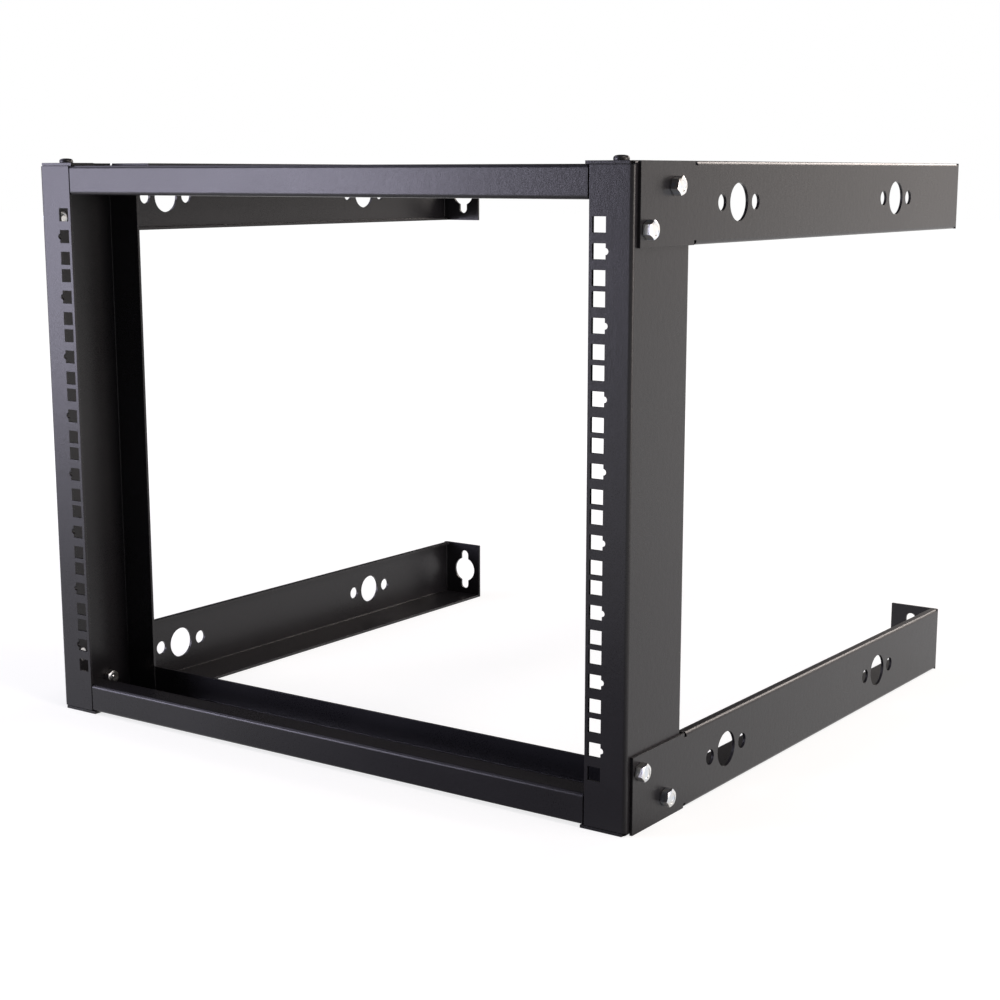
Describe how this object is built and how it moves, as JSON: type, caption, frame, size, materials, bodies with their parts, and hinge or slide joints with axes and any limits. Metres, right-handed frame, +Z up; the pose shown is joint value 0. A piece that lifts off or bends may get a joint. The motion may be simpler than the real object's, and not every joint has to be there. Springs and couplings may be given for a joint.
{
  "type": "open wall mount equipment rack",
  "caption": "Open frame of folded sheet metal that holds 19-inch equipment in front of a wall: front posts with square rail holes, crossbars, and side arms with slotted wall flanges.",
  "frame": {"origin": "under the middle of the rack, on the plane that it stands on", "axes": "+X to the right seen from the front, +Y from the front posts towards the wall, +Z up"},
  "size_m": [0.5278, 0.503, 0.4213],
  "materials": {
    "powder_coat": "matte black powder coat",
    "zinc_plating": "bright zinc plating"
  },
  "bodies": {
    "root": {"bottom_crossbar": "powder_coat", "left_post": "powder_coat", "lower_left_arm": "powder_coat", "lower_left_front_bolt": "zinc_plating", "lower_left_front_nut": "zinc_plating", "lower_left_rear_bolt": "zinc_plating", "lower_left_rear_nut": "zinc_plating", "lower_left_screw": "zinc_plating", "lower_left_screw_nut": "zinc_plating", "lower_right_arm": "powder_coat", "lower_right_front_bolt": "zinc_plating", "lower_right_front_nut": "zinc_plating", "lower_right_rear_bolt": "zinc_plating", "lower_right_rear_nut": "zinc_plating", "lower_right_screw": "zinc_plating", "lower_right_screw_nut": "zinc_plating", "right_post": "powder_coat", "top_crossbar": "powder_coat", "upper_left_arm": "powder_coat", "upper_left_front_bolt": "zinc_plating", "upper_left_front_nut": "zinc_plating", "upper_left_rear_bolt": "zinc_plating", "upper_left_rear_nut": "zinc_plating", "upper_left_screw": "powder_coat", "upper_left_screw_nut": "zinc_plating", "upper_right_arm": "powder_coat", "upper_right_front_bolt": "zinc_plating", "upper_right_front_nut": "zinc_plating", "upper_right_rear_bolt": "zinc_plating", "upper_right_rear_nut": "zinc_plating", "upper_right_screw": "powder_coat", "upper_right_screw_nut": "zinc_plating"}
  },
  "joints": []
}
